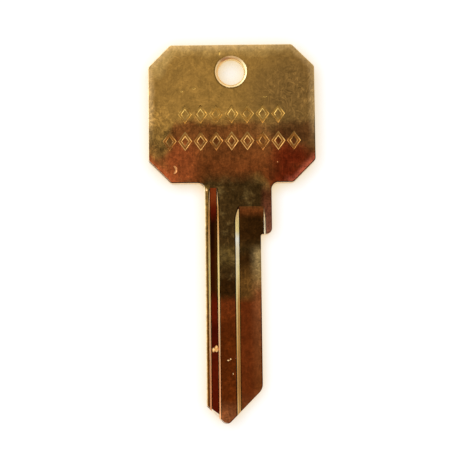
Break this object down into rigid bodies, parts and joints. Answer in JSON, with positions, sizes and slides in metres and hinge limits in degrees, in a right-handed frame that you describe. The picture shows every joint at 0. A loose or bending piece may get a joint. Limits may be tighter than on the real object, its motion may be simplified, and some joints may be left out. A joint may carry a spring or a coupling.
{
  "type": "key blank",
  "caption": "Uncut brass key blank with a clipped square bow, a ring hole, a shoulder stop and a grooved blade.",
  "frame": {"origin": "on the back face, under the middle of the whole outline", "axes": "+Z out of the front face, +Y towards the bow, +X towards the bitting edge"},
  "size_m": [0.0254, 0.0574, 0.002],
  "materials": {
    "brass": "tarnished, burnished on its milled walls"
  },
  "bodies": {
    "root": {"key_blank": "brass"}
  },
  "joints": []
}
